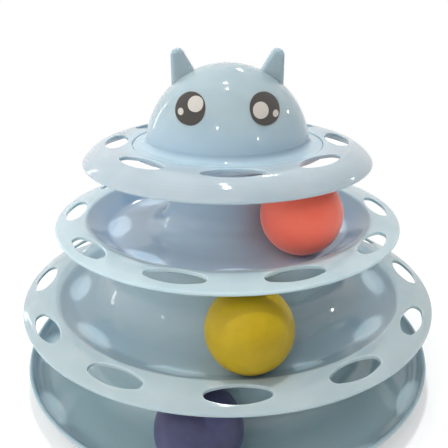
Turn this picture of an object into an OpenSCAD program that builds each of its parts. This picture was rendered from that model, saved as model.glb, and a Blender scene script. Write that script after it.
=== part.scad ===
// Ball track tower for cats: a base tray and two track tiers plug together under a cover with a
// cat-head dome, and a ball rolls round each of the three tracks.
// Millimetres. +Z is up, the origin is on the ground on the tower's axis, and the face looks to -Y.
// Every moulding is one sheet of even thickness, revolved from the line of its upper surface.

/* [Balls] */
// Diameter of each ball
ball_d = 42; // [38:0.5:44]
// Wall of the hollow balls
ball_wall = 1.2; // [0.8:0.1:2.4]
// Room between a ball and the column that it rolls round
side_play = 1; // [0.5:0.1:2]
// Turn of the ball in the base track, in degrees from the front towards +X
purple_ball_angle = -7.5; // [-180:0.5:180]
// Turn of the ball in the lower tier, in degrees
yellow_ball_angle = 6.8; // [-180:0.1:180]
// Turn of the ball in the middle tier, in degrees
orange_ball_angle = 41.6; // [-180:0.1:180]

/* [Sheet and fits] */
// Thickness of the moulded sheet
wall = 2; // [1.6:0.1:2.4]
// Clearance all round between pieces that plug together
fit_gap = 0.3; // [0.2:0.05:0.4]
// Gap under a ball that stands on its track
rest_gap = 0.3; // [0.2:0.05:0.4]
// Turn of the hole patterns from the front towards +X, in degrees
hole_turn = 2.4; // [-15:0.1:15]

/* [Base tray] */
// Outer radius of the lip
base_lip_r = 120.7; // [116:0.1:126]
// Height of the lip above the track
base_lip_h = 7.9; // [6:0.1:10]
// How far the lip leans out over its height
base_lip_lean = 3.2; // [2:0.1:5]
// Fillet between the track and the lip
base_lip_fillet = 10; // [6:0.5:10.5]
// Distance from the foot of the lip to the line that the ball rolls on
base_outboard = 15.7; // [14:0.1:20]
// Fillet at the foot of the base column
base_foot_fillet = 13; // [8:0.5:14]

/* [Grip pads] */
// Number of rubber pads under the base
pad_count = 6; // [3:1:8]
// Diameter of a pad
pad_d = 16; // [10:0.5:20]
// Thickness of a pad
pad_t = 2.4; // [1.6:0.1:3.6]
// Depth of the recess that holds a pad
pad_recess = 0.6; // [0.3:0.1:1]

/* [Lower tier] */
// Outer radius of the rim
lower_rim_r = 120; // [117:0.5:126]
// Width of the curved flange between its crest and the rim
lower_flange_w = 15; // [14:0.5:18]
// Drop of the flange from its crest to the rim
lower_drop = 4; // [3.5:0.1:6.5]
// Width of the slope between the flange and the track
lower_slope_w = 13.2; // [12:0.1:16]
// Height of the crest above the track
lower_crest_h = 5.8; // [4.5:0.1:7]
// Distance from the foot of the slope to the line that the ball rolls on
lower_outboard = 5.4; // [5:0.1:8]
// Fillet at the foot of the lower column
lower_foot_fillet = 18; // [10:0.5:18.5]
// Number of holes in the flange
lower_holes = 12; // [6:1:14]
// Distance of the hole centres from the rim
lower_hole_in = 9.6; // [8:0.1:11]
// Width of a hole
lower_hole_w = 10.4; // [8:0.1:12]

/* [Middle tier] */
// Outer radius of the rim
middle_rim_r = 97.6; // [95:0.1:100]
// Width of the curved flange between its crest and the rim
middle_flange_w = 14.6; // [14:0.1:17]
// Drop of the flange from its crest to the rim
middle_drop = 2.3; // [1.5:0.1:4]
// Width of the slope between the flange and the track
middle_slope_w = 14.6; // [13:0.1:16]
// Height of the crest above the track
middle_crest_h = 9.1; // [8:0.1:11]
// Distance from the foot of the slope to the line that the ball rolls on
middle_outboard = 11.3; // [10:0.1:14]
// Fillet at the foot of the middle column
middle_foot_fillet = 16; // [5:0.5:18]
// Number of holes in the flange
middle_holes = 10; // [6:1:11]
// Distance of the hole centres from the rim
middle_hole_in = 9.8; // [8:0.1:11]
// Width of a hole
middle_hole_w = 10.8; // [8:0.1:12]

/* [Cover] */
// Outer radius of the rim
cover_rim_r = 79.7; // [78:0.1:84]
// Width of the curved flange between its crest and the rim
cover_flange_w = 15.5; // [13:0.1:18]
// Drop of the flange from its crest to the rim
cover_drop = 7.7; // [5:0.1:10]
// Number of holes in the cover
cover_holes = 8; // [4:1:8]
// Distance of the hole centres from the rim
cover_hole_in = 18.1; // [16:0.1:18.5]
// Width of a hole
cover_hole_w = 12.4; // [10:0.1:12.8]
// Radius of the socket that takes the middle column's plug
cover_socket_r = 26; // [22:0.5:27]
// Depth of the seat that the head's foot stands in
dome_seat_h = 1.5; // [1:0.1:1.8]

/* [Holes] */
// Length of every hole along its ring
hole_l = 30.4; // [24:0.1:31]
// Share of a hole's half width that is the radius of its nose
nose_share = 0.55; // [0.4:0.05:0.9]

/* [Track levels] */
// Least gap between the ball in the base track and the sheet over it
base_ball_gap = 2.32; // [0.5:0.01:6]
// Least gap between the ball in the lower tier and the sheet over it
lower_ball_gap = 2.97; // [0.4:0.01:6]
// Least gap between the ball in the middle tier and the sheet over it
middle_ball_gap = 3.55; // [0.5:0.01:10]

/* [Columns and plugs] */
// Draft of each column's side, in degrees
column_draft = 1.5; // [0.5:0.1:3]
// Radius of the round edge at a column's top
column_edge = 3; // [2.5:0.1:4]
// Height of the plug on a column's top
plug_h = 6; // [5:0.1:8]
// Radius of the round edge on a plug's top
plug_edge = 2.6; // [2:0.1:3.5]
// Thickness of the collar round a plug
collar_t = 2.4; // [2:0.1:3]
// How far a collar stands in from the inside of its column
collar_step = 0.6; // [0.4:0.1:1]
// Width of the lead-in round the foot of a collar, which clears the fillet at the plug's foot
collar_lead = 1; // [0.8:0.1:1.6]
// Number of keys that stop a tier from turning
key_count = 3; // [2:1:4]
// Width of a key
key_w = 6; // [4:0.5:10]
// How far a key stands out from its plug
key_out = 1.2; // [0.8:0.1:1.5]

/* [Cat head] */
// Outer radius of the dome
dome_r = 45.4; // [42:0.1:48]
// Depth of the dome's centre below its foot
dome_sink = 2; // [0:0.1:4]
// Width of the flange round the head's foot, out from the dome
head_foot_w = 7.1; // [4.6:0.1:7.6]
// Thickness of that flange
head_foot_t = 1; // [0.8:0.1:1.4]
// Fillet between that flange and the dome
head_foot_fillet = 3.5; // [2:0.1:4]
// Distance of an ear's outer edge from the middle
ear_out = 30; // [27:0.1:32]
// Height of the ear tips above the dome's top
ear_rise = 7.4; // [4:0.1:12]
// Radius of an ear's tip
ear_tip_r = 3.7; // [3:0.1:4.5]
// Thickness of an ear from front to back
ear_t = 8; // [7:0.1:11]
// Number of snap hooks on the dome's foot
hook_count = 3; // [2:1:4]
// Width of a snap hook
hook_w = 8; // [5:0.5:12]

/* [Eyes] */
// Turn of each eye from the front, in degrees
eye_azimuth = 31; // [20:0.1:40]
// Height of each eye above the dome's centre, in degrees
eye_elevation = 37; // [25:0.1:42]
// Lean of the top of each eye away from the other, in degrees
eye_lean_angle = 46; // [0:1:60]
// Width of an eye
eye_w = 16; // [12:0.1:19]
// Height of an eye
eye_h = 20.2; // [19.2:0.1:22]
// Thickness of an eye sticker
eye_t = 0.3; // [0.2:0.05:0.5]
// Width of the large glint
glint_w = 8; // [6:0.1:8.4]
// Height of the large glint
glint_h = 9.8; // [7:0.1:11]
// Width of the small glint
spark_w = 3.1; // [2:0.1:4]
// Height of the small glint
spark_h = 4.4; // [4.1:0.1:6]
// Thickness of the printed glints
print_t = 0.15; // [0.1:0.05:0.25]

/* [Hidden] */
// Fineness of round shapes and of the arcs in an outline
round_fn = 144;
small_fn = 48;
hull_fn = 32;
edge_fn = 16;
arc_step = 11;
// Overrun of every cut, and overlap of pieces that are moulded together
over = 1;

// Small sizes of the mouldings
land_w = 2;
crest_roll_r = 4;
slope_fillet = 7;
plug_foot_r = 0.8;
key_gap = fit_gap;
seat_edge_r = 0.6;
// Bite of the fillet at the head's foot into the dome
foot_bite = 0.15;
pad_edge = 0.4;
glue_t = 0.05;

// Places of the glints on each eye, to the viewer's right and upwards from its middle
left_glint_at = [2.8, 2.2];
left_spark_at = [-4.1, -2.7];
right_glint_at = [-3.3, -1.2];
right_spark_at = [4.6, -3.7];
// Shares of half the eye's length and width that shape its round ends
eye_nose_share = 0.8;

ball_r = ball_d / 2;

// Radii of the lines that the balls roll on, worked out from the rims
lower_track_r = crest_radius(lower_rim_r, lower_flange_w, lower_drop) - lower_slope_w - lower_outboard;
middle_track_r = crest_radius(middle_rim_r, middle_flange_w, middle_drop) - middle_slope_w
    - middle_outboard;
base_track_r = base_lip_r - base_lip_lean - base_outboard;

// Radii of the columns at their feet, of their sockets and of the plugs that go in them
base_column_r = base_track_r - ball_r - side_play;
lower_column_r = lower_track_r - ball_r - side_play;
middle_column_r = middle_track_r - ball_r - side_play;
lower_socket_r = lower_column_r - wall - collar_step;
middle_socket_r = middle_column_r - wall - collar_step;

// Radii of the dome at its foot, of the flange round it and of that flange's seat
dome_foot_r = sqrt(dome_r * dome_r - dome_sink * dome_sink);
head_foot_r = dome_r + head_foot_w;
head_seat_r = head_foot_r + fit_gap;

// Heights of the tracks, the undersides of the tiers and the cover
base_floor_z = pad_t - pad_recess + wall;
base_top_z = base_floor_z + rise_under(
    tier_underside(lower_rim_r, lower_flange_w, lower_drop, lower_slope_w, lower_crest_h),
    base_track_r, base_ball_gap);
lower_floor_z = base_top_z + wall;
lower_top_z = lower_floor_z + rise_under(
    tier_underside(middle_rim_r, middle_flange_w, middle_drop, middle_slope_w, middle_crest_h),
    lower_track_r, lower_ball_gap);
middle_floor_z = lower_top_z + wall;
middle_top_z = middle_floor_z + rise_under(
    rounded(moved(concat(cover_flange_corners(dome_seat_h + wall, wall), [[0, wall, 0]]), wall)),
    middle_track_r, middle_ball_gap);
cover_inner_z = middle_top_z + wall;
cover_z = cover_inner_z + dome_seat_h;
dome_centre_z = cover_inner_z - dome_sink;

// Ears: rounding of the edges, and the places of the tip and of the two feet sunk in the dome
ear_edge_r = 2.5;
ear_hollow_share = 0.8;
ear_outer_foot_share = 0.62;
ear_inner_foot_shares = [0.355, 0.757];
ear_tip_at = [ear_out - ear_tip_r, dome_r + ear_rise - ear_tip_r];
ear_outer_foot_at = [ear_out - ear_edge_r, dome_r * ear_outer_foot_share];
ear_inner_foot_at = [dome_r * ear_inner_foot_shares.x, dome_r * ear_inner_foot_shares.y];

// Snap hooks
hook_t = 1.6;
hook_barb = 0.8;
hook_barb_h = 1.2;
hook_up = 3;
hook_r = dome_foot_r - wall - hook_t / 2;

function pad_name(i) = str("grip_pad_", i);
function unit(v) = v / norm(v);
function left(d) = [-d.y, d.x];
function turned(v, a) = [v.x * cos(a) - v.y * sin(a), v.x * sin(a) + v.y * cos(a)];
function cross_2d(a, b) = a.x * b.y - a.y * b.x;
// Slope of a flange at its rim, in degrees, and the radius of its arc
function rim_slope(flange_w, drop) = 2 * atan(drop / flange_w);
function flange_arc_r(flange_w, drop) = flange_w / sin(rim_slope(flange_w, drop));
// Radius at which the upper surface of a flange meets its round rim
function rim_top_radius(rim_r, flange_w, drop) = rim_r - wall / 2 * (1 - sin(rim_slope(flange_w, drop)));
function crest_radius(rim_r, flange_w, drop) = rim_top_radius(rim_r, flange_w, drop) - flange_w;

// Points of the arc that rounds corner b between a and c
function arc_points(a, b, c, r) =
    let (d1 = unit(b - a), d2 = unit(c - b), angle = acos(d1 * d2))
    r <= 0 || angle < 0.5 ? [b] :
    let (side = cross_2d(d1, d2) > 0 ? 1 : -1,
         start = b - d1 * r * tan(angle / 2),
         centre = start + left(d1) * r * side,
         steps = max(2, ceil(angle / arc_step)))
    [for (k = [0:steps]) centre + turned(start - centre, side * angle * k / steps)];

// Line with rounded corners through a list of [radius, height, corner radius]
function rounded(corners) =
    let (n = len(corners))
    [for (i = [0:n - 1])
        each (i == 0 || i == n - 1
            ? [point(corners[i])]
            : arc_points(point(corners[i - 1]), point(corners[i]), point(corners[i + 1]), corners[i].z))];
function point(corner) = [corner.x, corner.y];

// The same corners moved to the left of the line by t, so that the arcs stay parallel
function moved(corners, t) =
    let (n = len(corners))
    [for (i = [0:n - 1])
        let (b = point(corners[i]),
             d1 = i == 0 ? unit(point(corners[1]) - b) : unit(b - point(corners[i - 1])),
             d2 = i == n - 1 ? d1 : unit(point(corners[i + 1]) - b),
             side = cross_2d(d1, d2) > 0 ? 1 : -1,
             r = corners[i].z,
             q = b + t * (left(d1) + left(d2)) / (1 + left(d1) * left(d2)))
        [q.x, q.y, r > 0 ? max(0, r - side * t) : 0]];

// Half round that closes the rim from the lower surface to the upper one
function rim_cap(lower, upper) =
    let (middle = (lower + upper) / 2, steps = ceil(180 / (2 * arc_step)))
    [for (k = [1:steps - 1]) middle + turned(lower - middle, 180 * k / steps)];

// Outline of a sheet: its upper line, its lower line and the round rim
function sheet_outline(corners) =
    let (upper = rounded(corners), lower = rounded(moved(corners, wall)), n = len(lower))
    concat(upper, [for (i = [n - 1:-1:0]) lower[i]], rim_cap(lower[0], upper[0]));

// Corners of a curved flange, from the rim to the land inside its crest
function flange_corners(rim_r, flange_w, drop, crest_z) =
    let (slope = rim_slope(flange_w, drop), arc_r = flange_arc_r(flange_w, drop),
         crest_r = crest_radius(rim_r, flange_w, drop))
    [[crest_r + flange_w, crest_z - drop, 0],
     [crest_r + arc_r * tan(slope / 2), crest_z, arc_r]];

// Corners of a column with its plug, from the track to the axis
function column_corners(foot_r, foot_fillet, floor_z, top_z, plug_r) =
    let (top_r = foot_r - (top_z - floor_z) * tan(column_draft))
    [[foot_r, floor_z, foot_fillet],
     [top_r, top_z, column_edge],
     [plug_r, top_z, plug_foot_r],
     [plug_r, top_z + plug_h, plug_edge],
     [0, top_z + plug_h, 0]];

// Corners of a whole tier, from its rim to the axis
function tier_corners(rim_r, flange_w, drop, slope_w, crest_h, floor_z, column) =
    let (crest_r = crest_radius(rim_r, flange_w, drop), crest_z = floor_z + crest_h)
    concat(
        flange_corners(rim_r, flange_w, drop, crest_z),
        [[crest_r - land_w, crest_z, crest_roll_r],
         [crest_r - slope_w, floor_z, slope_fillet]],
        column);

// Corners of the cover from its rim to the inside of the head's seat, whose floor is at seat_z
function cover_flange_corners(top_z, seat_z) =
    concat(
        flange_corners(cover_rim_r, cover_flange_w, cover_drop, top_z),
        [[head_seat_r, top_z, seat_edge_r], [head_seat_r, seat_z, 0]]);

// Underside of a tier's flange, slope and floor, with heights from the floor's own underside
function tier_underside(rim_r, flange_w, drop, slope_w, crest_h) =
    rounded(moved(
        tier_corners(rim_r, flange_w, drop, slope_w, crest_h, wall, [[0, wall, 0]]), wall));

// Rise of the next floor's underside over a track that keeps a gap between the ball and the next
// sheet, whose underside is a line with heights from that floor's own underside
function rise_under(line, track_r, gap) =
    let (reach = ball_r + gap)
    rest_gap + ball_r + max([for (k = [0:len(line) - 2], share = [0:0.05:1])
        let (p = line[k] + share * (line[k + 1] - line[k]), off = p.x - track_r)
        if (abs(off) < reach) sqrt(reach * reach - off * off) - p.y]);

module sheet(corners) {
    rotate_extrude($fn = round_fn) polygon(sheet_outline(corners));
}

// Oval of four arcs, l long and w wide, whose ends have radius nose_r
module oval(l, w, nose_r) {
    c = l / 2 - nose_r;
    d = w / 2 - nose_r;
    k = (c * c - d * d) / (2 * d);
    side_r = w / 2 + k;
    tangent_x = side_r * c / norm([c, k]);
    union() {
        for (s = [-1, 1]) translate([s * c, 0]) circle(nose_r, $fn = small_fn);
        intersection() {
            translate([0, -k]) circle(side_r, $fn = round_fn);
            translate([0, k]) circle(side_r, $fn = round_fn);
            square([2 * tangent_x, 2 * w], center = true);
        }
    }
}

// Cutters for a ring of holes through a flange whose highest point is at top_z
module ring_of_holes(count, ring_r, w, drop, top_z, turn) {
    for (i = [0:count - 1])
        rotate([0, 0, turn + i * 360 / count])
            translate([0, -ring_r, top_z - drop - wall - over])
                linear_extrude(drop + wall + 2 * over)
                    oval(hole_l, w, w / 2 * nose_share);
}

// Keys on the side of a plug that stands on top_z
module keys(plug_r, top_z) {
    for (i = [0:key_count - 1])
        rotate([0, 0, i * 360 / key_count])
            translate([-key_w / 2, -plug_r - key_out, top_z - wall / 2])
                cube([key_w, key_out + wall / 2, plug_h - plug_edge + wall / 2]);
}

// Slots for those keys in a collar that starts at under_z
module key_slots(socket_r, under_z) {
    for (i = [0:key_count - 1])
        rotate([0, 0, i * 360 / key_count])
            translate([-key_w / 2 - key_gap, -socket_r - key_out, under_z - over])
                cube([key_w + 2 * key_gap, key_out + over, plug_h + 2 * over]);
}

// Cutter for the slanted lead-in at the foot of a socket that starts at under_z
module lead_in(socket_r, under_z) {
    translate([0, 0, under_z - over])
        cylinder(r1 = socket_r + collar_lead + over, r2 = socket_r - over,
            h = collar_lead + 2 * over, $fn = round_fn);
}

module tube(outer_r, inner_r, z, h) {
    translate([0, 0, z])
        difference() {
            cylinder(r = outer_r, h = h, $fn = round_fn);
            translate([0, 0, -over]) cylinder(r = inner_r, h = h + 2 * over, $fn = round_fn);
        }
}

// A tier: its sheet, the keys on its plug, and the collar under it with slots for the plug below
module tier(corners, plug_r, top_z, socket_r, floor_z, foot_fillet) {
    difference() {
        union() {
            sheet(corners);
            keys(plug_r, top_z);
            tube(socket_r + collar_t, socket_r, floor_z - wall, wall + foot_fillet);
        }
        key_slots(socket_r, floor_z - wall);
        lead_in(socket_r, floor_z - wall);
    }
}

module base_tray() {
    plug_r = lower_socket_r - fit_gap;
    corners = concat(
        [[base_lip_r - wall / 2, base_floor_z + base_lip_h, 0],
         [base_lip_r - wall / 2 - base_lip_lean, base_floor_z, base_lip_fillet]],
        column_corners(base_column_r, base_foot_fillet, base_floor_z, base_top_z, plug_r));
    color("#a9c6d0")
        difference() {
            union() {
                sheet(corners);
                keys(plug_r, base_top_z);
            }
            for (i = [1:pad_count])
                at_pad(i) translate([0, 0, pad_t - pad_recess - over])
                    cylinder(d = pad_d + 2 * fit_gap, h = pad_recess + over, $fn = small_fn);
        }
}

module lower_tier() {
    plug_r = middle_socket_r - fit_gap;
    corners = tier_corners(lower_rim_r, lower_flange_w, lower_drop, lower_slope_w, lower_crest_h,
        lower_floor_z,
        column_corners(lower_column_r, lower_foot_fillet, lower_floor_z, lower_top_z, plug_r));
    color("#bcd7e0")
        difference() {
            tier(corners, plug_r, lower_top_z, lower_socket_r, lower_floor_z, lower_foot_fillet);
            ring_of_holes(lower_holes, lower_rim_r - lower_hole_in, lower_hole_w, lower_drop,
                lower_floor_z + lower_crest_h, hole_turn);
        }
}

module middle_tier() {
    plug_r = cover_socket_r - fit_gap;
    corners = tier_corners(middle_rim_r, middle_flange_w, middle_drop, middle_slope_w,
        middle_crest_h, middle_floor_z,
        column_corners(middle_column_r, middle_foot_fillet, middle_floor_z, middle_top_z, plug_r));
    color("#c2dae3")
        difference() {
            tier(corners, plug_r, middle_top_z, middle_socket_r, middle_floor_z, middle_foot_fillet);
            ring_of_holes(middle_holes, middle_rim_r - middle_hole_in, middle_hole_w, middle_drop,
                middle_floor_z + middle_crest_h, hole_turn + 180 / middle_holes);
        }
}

module top_cover() {
    corners = concat(
        cover_flange_corners(cover_z, cover_inner_z),
        [[cover_socket_r + wall, cover_inner_z, 0],
         [cover_socket_r + wall, middle_top_z + plug_h, 0]]);
    color("#c6dde6")
        difference() {
            sheet(corners);
            ring_of_holes(cover_holes, cover_rim_r - cover_hole_in, cover_hole_w, cover_drop, cover_z,
                hole_turn);
            key_slots(cover_socket_r, middle_top_z);
            lead_in(cover_socket_r, middle_top_z);
            for (i = [0:hook_count - 1])
                at_hook(i) translate([-hook_w / 2 - fit_gap, -hook_t / 2 - fit_gap, -wall - over])
                    cube([hook_w + 2 * fit_gap, hook_t + 2 * fit_gap, wall + 2 * over]);
        }
}

// Places something at hook i, with its origin on the cover under the dome
module at_hook(i) {
    rotate([0, 0, i * 360 / hook_count]) translate([0, -hook_r, cover_inner_z]) children();
}

// Snap hook: a tongue through the cover with a barb that catches under it
module hook() {
    down = wall + fit_gap;
    translate([-hook_w / 2, -hook_t / 2, -down])
        cube([hook_w, hook_t, down + hook_up]);
    translate([-hook_w / 2, 0, -down - hook_barb_h])
        rotate([90, 0, 90])
            linear_extrude(hook_w)
                polygon([[-hook_t / 2 - hook_barb, hook_barb_h], [hook_t / 2, hook_barb_h],
                         [hook_t / 2, 0], [-hook_t / 2, 0]]);
}

// One ear, drawn in by inset all round to make the hollow inside it
module ear(inset) {
    places = [concat(ear_tip_at, ear_tip_r), concat(ear_outer_foot_at, ear_edge_r),
              concat(ear_inner_foot_at, ear_edge_r)];
    hull()
        for (p = places)
            translate([p.x, 0, p.y]) rounded_disc(p.z - inset, ear_t - 2 * inset, ear_edge_r - inset);
}

// Upright disc of radius r and thickness t whose rim is rounded with radius edge_r
module rounded_disc(r, t, edge_r) {
    rotate([90, 0, 0])
        rotate_extrude($fn = hull_fn)
            intersection() {
                union() {
                    for (s = [-1, 1])
                        translate([r - edge_r, s * (t / 2 - edge_r)]) circle(edge_r, $fn = edge_fn);
                    translate([0, edge_r - t / 2]) square([r, t - 2 * edge_r]);
                    translate([0, -t / 2]) square([max(r - edge_r, edge_r / 10), t]);
                }
                translate([0, -t]) square([r + over, 2 * t]);
            }
}

// Flange round the head's foot, with the fillet that leads up to the dome, seen from the dome's centre
module head_foot() {
    top = dome_sink + head_foot_t;
    middle_z = top + head_foot_fillet;
    reach = dome_r + head_foot_fillet - foot_bite;
    middle = [sqrt(reach * reach - middle_z * middle_z), middle_z];
    last = 180 - atan(middle.y / middle.x);
    steps = ceil((last - 90) / arc_step);
    arc = [for (k = [0:steps])
        let (a = 90 + (last - 90) * k / steps)
        middle + head_foot_fillet * [cos(a), -sin(a)]];
    low_z = dome_sink - over;
    rotate_extrude($fn = round_fn)
        polygon(concat(
            [[dome_foot_r - wall / 2, low_z], [head_foot_r, low_z], [head_foot_r, top]],
            arc,
            [unit(arc[steps]) * (dome_r - wall / 2)]));
}

module cat_head() {
    color("#a8c4cf")
        difference() {
            union() {
                translate([0, 0, dome_centre_z])
                    difference() {
                        union() {
                            sphere(dome_r, $fn = round_fn);
                            ear(0);
                            mirror([1, 0, 0]) ear(0);
                            head_foot();
                        }
                        sphere(dome_r - wall, $fn = round_fn);
                        ear(wall * ear_hollow_share);
                        mirror([1, 0, 0]) ear(wall * ear_hollow_share);
                        translate([0, 0, dome_sink - head_foot_r - over])
                            cube(2 * (head_foot_r + over), center = true);
                    }
                for (i = [0:hook_count - 1]) at_hook(i) hook();
            }
        }
}

// Places something on the dome at an eye, with +Z outwards and +Y up
module at_eye(side) {
    translate([0, 0, dome_centre_z])
        rotate([0, 0, side * eye_azimuth]) rotate([90 - eye_elevation, 0, 0]) children();
}

// Thin shell on the dome from height low to high, as wide as the outline given as a child
module dome_patch(side, low, high) {
    difference() {
        intersection() {
            translate([0, 0, dome_centre_z]) sphere(dome_r + high, $fn = round_fn);
            at_eye(side) translate([0, 0, dome_r / 2]) linear_extrude(dome_r) children();
        }
        translate([0, 0, dome_centre_z]) sphere(dome_r + low, $fn = round_fn);
    }
}

module eye_sticker(side) {
    color("#3c3935")
        dome_patch(side, glue_t, glue_t + eye_t)
            rotate(90 - side * eye_lean_angle) oval(eye_h, eye_w, eye_w / 2 * eye_nose_share);
}

module eye_glints(side, glint_at, spark_at) {
    low = glue_t + eye_t;
    color("#dcd8ce") {
        dome_patch(side, low, low + print_t)
            translate(glint_at)
                rotate(90 - side * eye_lean_angle) oval(glint_h, glint_w, glint_w / 2 * eye_nose_share);
        dome_patch(side, low, low + print_t)
            translate(spark_at)
                rotate(90 - side * eye_lean_angle) oval(spark_h, spark_w, spark_w / 2 * eye_nose_share);
    }
}

module left_eye_sticker() { eye_sticker(-1); }
module right_eye_sticker() { eye_sticker(1); }
module left_eye_glints() { eye_glints(-1, left_glint_at, left_spark_at); }
module right_eye_glints() { eye_glints(1, right_glint_at, right_spark_at); }

// Hollow ball standing on a track
module ball(track_r, floor_z, at) {
    rotate([0, 0, at])
        translate([0, -track_r, floor_z + rest_gap + ball_r])
            difference() {
                sphere(ball_r, $fn = round_fn);
                sphere(ball_r - ball_wall, $fn = round_fn);
            }
}

module purple_ball() { color("#4b4669") ball(base_track_r, base_floor_z, purple_ball_angle); }
module yellow_ball() { color("#d8bf2c") ball(lower_track_r, lower_floor_z, yellow_ball_angle); }
module orange_ball() { color("#ee6a58") ball(middle_track_r, middle_floor_z, orange_ball_angle); }

// Places something on the ground at pad i
module at_pad(i) {
    rotate([0, 0, (i - 0.5) * 360 / pad_count]) translate([0, -base_track_r, 0]) children();
}

module grip_pad(i) {
    color("#5d6468")
        at_pad(i)
            rotate_extrude($fn = small_fn)
                polygon([[0, 0], [pad_d / 2 - pad_edge, 0], [pad_d / 2, pad_edge],
                         [pad_d / 2, pad_t], [0, pad_t]]);
}

base_tray();
lower_tier();
middle_tier();
top_cover();
cat_head();
left_eye_sticker();
right_eye_sticker();
left_eye_glints();
right_eye_glints();
purple_ball();
yellow_ball();
orange_ball();
for (i = [1:pad_count])
    grip_pad(i);
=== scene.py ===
"""Looks of a ball track tower for cats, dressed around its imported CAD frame.

Every moulding is one sheet of even thickness. Its upper surface is a line in the plane of radius
and height, from the rim to the axis, and the mesh is that line turned round the tower's axis.
Sizes are in metres unless a name ends in _mm, and angles run from the front (-Y) towards +X.
"""

from __future__ import annotations

import logging
import math
from collections.abc import Callable, Iterable, Sequence
from dataclasses import dataclass, field
from enum import Enum

import bmesh
import bpy
from mathutils import Matrix, Vector

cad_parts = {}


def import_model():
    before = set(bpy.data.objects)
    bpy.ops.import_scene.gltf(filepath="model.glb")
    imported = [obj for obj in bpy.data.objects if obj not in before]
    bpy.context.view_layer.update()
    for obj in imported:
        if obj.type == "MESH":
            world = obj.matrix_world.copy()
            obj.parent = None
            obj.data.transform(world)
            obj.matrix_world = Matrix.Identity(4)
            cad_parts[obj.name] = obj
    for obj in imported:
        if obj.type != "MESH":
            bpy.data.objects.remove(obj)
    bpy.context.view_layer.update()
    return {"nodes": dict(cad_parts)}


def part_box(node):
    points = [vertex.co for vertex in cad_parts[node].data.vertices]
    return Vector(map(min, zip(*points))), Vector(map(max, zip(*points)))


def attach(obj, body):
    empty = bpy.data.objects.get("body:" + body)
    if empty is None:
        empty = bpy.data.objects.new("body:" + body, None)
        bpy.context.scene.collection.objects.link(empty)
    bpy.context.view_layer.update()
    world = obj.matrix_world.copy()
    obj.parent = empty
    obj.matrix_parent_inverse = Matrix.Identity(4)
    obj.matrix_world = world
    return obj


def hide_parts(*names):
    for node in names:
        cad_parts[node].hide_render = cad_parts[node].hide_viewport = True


LOG = logging.getLogger("ball_track_tower")

MM = 0.001
FULL_TURN = 2 * math.pi
QUARTER_TURN = math.pi / 2
WELD = 2e-6
# A gap or a step too small to see, which keeps volumes and rings apart
HAIR = 1e-5
SHARP_ANGLE = math.radians(38)
STEPS_ROUND = 360
WHITE = "#ffffff"

Point = tuple[float, float, float]
Flat = tuple[float, float]
# A point of an outline and its outward normal
Edge = tuple[Flat, Flat]
Socket = bpy.types.NodeSocket


class Side(Enum):
    """The two sides of the cat's face, as signs along X."""

    LEFT = -1
    RIGHT = 1


class Across(Enum):
    """What the painted light follows: the distance from the tower's axis, or the height."""

    RADIUS = 0
    HEIGHT = 1


# Colour and nodes


def linear(hex_code: str) -> tuple[float, float, float, float]:
    """Turns an sRGB colour into the linear values that Blender's sockets hold.

    Args:
        hex_code: The colour as six hex digits after a hash.

    Returns:
        Linear red, green and blue, and 1 for alpha.
    """
    values = []
    for start in (1, 3, 5):
        level = int(hex_code[start : start + 2], 16) / 255
        values.append(level / 12.92 if level <= 0.04045 else ((level + 0.055) / 1.055) ** 2.4)
    return (*values, 1.0)


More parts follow.
